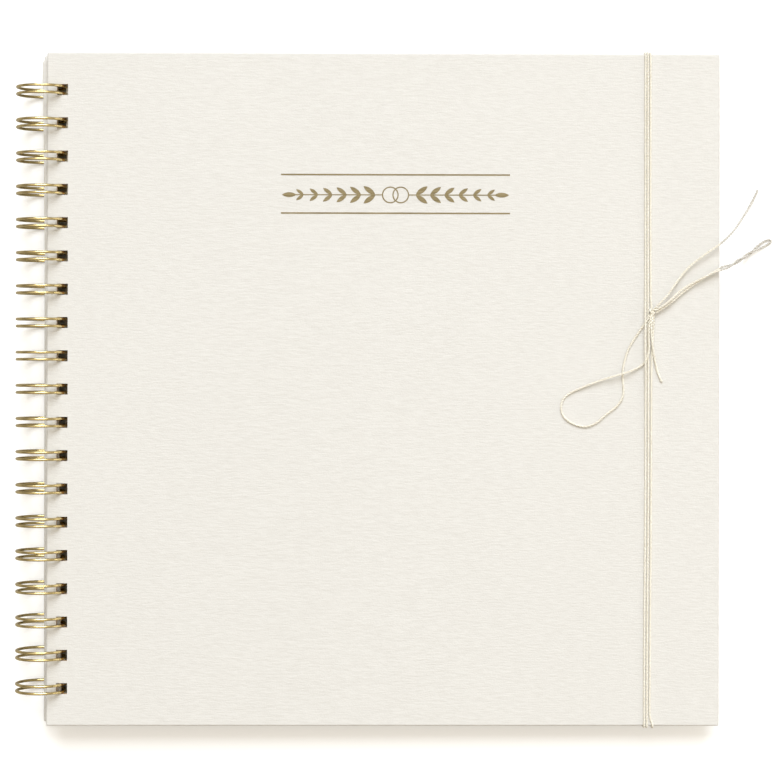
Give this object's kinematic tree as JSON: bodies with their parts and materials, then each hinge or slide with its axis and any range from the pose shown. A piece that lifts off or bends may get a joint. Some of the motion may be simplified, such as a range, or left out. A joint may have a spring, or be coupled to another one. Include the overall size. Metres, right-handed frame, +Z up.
{
  "type": "wire-bound guest book",
  "caption": "Square linen-covered guest book with leaves on a gold twin-loop wire, foil ornament on the front and a thin cord tied in a bow around the cover.",
  "frame": {"origin": "on the table, under the middle of the closed book with its wire, the cord left out", "axes": "+X from the wire-bound edge to the fore edge, +Y from the tail to the head, +Z up, out of the front cover"},
  "size_m": [0.2921, 0.2588, 0.019],
  "materials": {
    "linen": "matt woven linen book cloth",
    "grey_board": "raw pressed paper board",
    "liner_paper": "matt pasted paper",
    "leaf_paper": "uncoated cream paper",
    "gold_wire": "bright gold-coloured wire",
    "gilt_foil": "satin hot-stamped foil",
    "cord": "twisted two-strand cotton cord"
  },
  "bodies": {
    "back_cover": {"binding_wire": "gold_wire", "back_board": "grey_board", "back_cloth": "linen", "back_liner": "liner_paper"},
    "leaf_01_body": {"leaf_01": "leaf_paper"},
    "leaf_02_body": {"leaf_02": "leaf_paper"},
    "leaf_03_body": {"leaf_03": "leaf_paper"},
    "leaf_04_body": {"leaf_04": "leaf_paper"},
    "leaf_05_body": {"leaf_05": "leaf_paper"},
    "leaf_06_body": {"leaf_06": "leaf_paper"},
    "leaf_07_body": {"leaf_07": "leaf_paper"},
    "leaf_08_body": {"leaf_08": "leaf_paper"},
    "leaf_09_body": {"leaf_09": "leaf_paper"},
    "leaf_10_body": {"leaf_10": "leaf_paper"},
    "leaf_11_body": {"leaf_11": "leaf_paper"},
    "leaf_12_body": {"leaf_12": "leaf_paper"},
    "leaf_13_body": {"leaf_13": "leaf_paper"},
    "leaf_14_body": {"leaf_14": "leaf_paper"},
    "leaf_15_body": {"leaf_15": "leaf_paper"},
    "leaf_16_body": {"leaf_16": "leaf_paper"},
    "leaf_17_body": {"leaf_17": "leaf_paper"},
    "leaf_18_body": {"leaf_18": "leaf_paper"},
    "leaf_19_body": {"leaf_19": "leaf_paper"},
    "leaf_20_body": {"leaf_20": "leaf_paper"},
    "front_cover": {"front_board": "grey_board", "front_cloth": "linen", "front_liner": "liner_paper", "foil_rule_upper": "gilt_foil", "foil_rule_lower": "gilt_foil", "foil_ornament": "gilt_foil", "tie_turn_left": "cord", "tie_turn_middle": "cord", "tie_turn_right": "cord", "tie_loop_left": "cord", "tie_loop_right": "cord", "tie_tail_upper": "cord", "tie_tail_lower": "cord", "tie_knot": "cord"}
  },
  "joints": [
    {"name": "leaf_20_turn", "type": "hinge", "parent": "back_cover", "child": "leaf_20_body", "pos_m": [-0.12527, 0, 0.0095], "axis": [0, -1, 0], "range_deg": [0, 180]},
    {"name": "leaf_19_turn", "type": "hinge", "parent": "leaf_20_body", "child": "leaf_19_body", "pos_m": [-0.12527, 0, 0.0095], "axis": [0, -1, 0], "range_deg": [0, 180]},
    {"name": "leaf_18_turn", "type": "hinge", "parent": "leaf_19_body", "child": "leaf_18_body", "pos_m": [-0.12527, 0, 0.0095], "axis": [0, -1, 0], "range_deg": [0, 180]},
    {"name": "leaf_17_turn", "type": "hinge", "parent": "leaf_18_body", "child": "leaf_17_body", "pos_m": [-0.12527, 0, 0.0095], "axis": [0, -1, 0], "range_deg": [0, 180]},
    {"name": "leaf_16_turn", "type": "hinge", "parent": "leaf_17_body", "child": "leaf_16_body", "pos_m": [-0.12527, 0, 0.0095], "axis": [0, -1, 0], "range_deg": [0, 180]},
    {"name": "leaf_15_turn", "type": "hinge", "parent": "leaf_16_body", "child": "leaf_15_body", "pos_m": [-0.12527, 0, 0.0095], "axis": [0, -1, 0], "range_deg": [0, 180]},
    {"name": "leaf_14_turn", "type": "hinge", "parent": "leaf_15_body", "child": "leaf_14_body", "pos_m": [-0.12527, 0, 0.0095], "axis": [0, -1, 0], "range_deg": [0, 180]},
    {"name": "leaf_13_turn", "type": "hinge", "parent": "leaf_14_body", "child": "leaf_13_body", "pos_m": [-0.12527, 0, 0.0095], "axis": [0, -1, 0], "range_deg": [0, 180]},
    {"name": "leaf_12_turn", "type": "hinge", "parent": "leaf_13_body", "child": "leaf_12_body", "pos_m": [-0.12527, 0, 0.0095], "axis": [0, -1, 0], "range_deg": [0, 180]},
    {"name": "leaf_11_turn", "type": "hinge", "parent": "leaf_12_body", "child": "leaf_11_body", "pos_m": [-0.12527, 0, 0.0095], "axis": [0, -1, 0], "range_deg": [0, 180]},
    {"name": "leaf_10_turn", "type": "hinge", "parent": "leaf_11_body", "child": "leaf_10_body", "pos_m": [-0.12527, 0, 0.0095], "axis": [0, -1, 0], "range_deg": [0, 180]},
    {"name": "leaf_09_turn", "type": "hinge", "parent": "leaf_10_body", "child": "leaf_09_body", "pos_m": [-0.12527, 0, 0.0095], "axis": [0, -1, 0], "range_deg": [0, 180]},
    {"name": "leaf_08_turn", "type": "hinge", "parent": "leaf_09_body", "child": "leaf_08_body", "pos_m": [-0.12527, 0, 0.0095], "axis": [0, -1, 0], "range_deg": [0, 180]},
    {"name": "leaf_07_turn", "type": "hinge", "parent": "leaf_08_body", "child": "leaf_07_body", "pos_m": [-0.12527, 0, 0.0095], "axis": [0, -1, 0], "range_deg": [0, 180]},
    {"name": "leaf_06_turn", "type": "hinge", "parent": "leaf_07_body", "child": "leaf_06_body", "pos_m": [-0.12527, 0, 0.0095], "axis": [0, -1, 0], "range_deg": [0, 180]},
    {"name": "leaf_05_turn", "type": "hinge", "parent": "leaf_06_body", "child": "leaf_05_body", "pos_m": [-0.12527, 0, 0.0095], "axis": [0, -1, 0], "range_deg": [0, 180]},
    {"name": "leaf_04_turn", "type": "hinge", "parent": "leaf_05_body", "child": "leaf_04_body", "pos_m": [-0.12527, 0, 0.0095], "axis": [0, -1, 0], "range_deg": [0, 180]},
    {"name": "leaf_03_turn", "type": "hinge", "parent": "leaf_04_body", "child": "leaf_03_body", "pos_m": [-0.12527, 0, 0.0095], "axis": [0, -1, 0], "range_deg": [0, 180]},
    {"name": "leaf_02_turn", "type": "hinge", "parent": "leaf_03_body", "child": "leaf_02_body", "pos_m": [-0.12527, 0, 0.0095], "axis": [0, -1, 0], "range_deg": [0, 180]},
    {"name": "leaf_01_turn", "type": "hinge", "parent": "leaf_02_body", "child": "leaf_01_body", "pos_m": [-0.12527, 0, 0.0095], "axis": [0, -1, 0], "range_deg": [0, 180]},
    {"name": "cover_open", "type": "hinge", "parent": "leaf_01_body", "child": "front_cover", "pos_m": [-0.12527, 0, 0.0095], "axis": [0, -1, 0], "range_deg": [0, 181.6]}
  ]
}
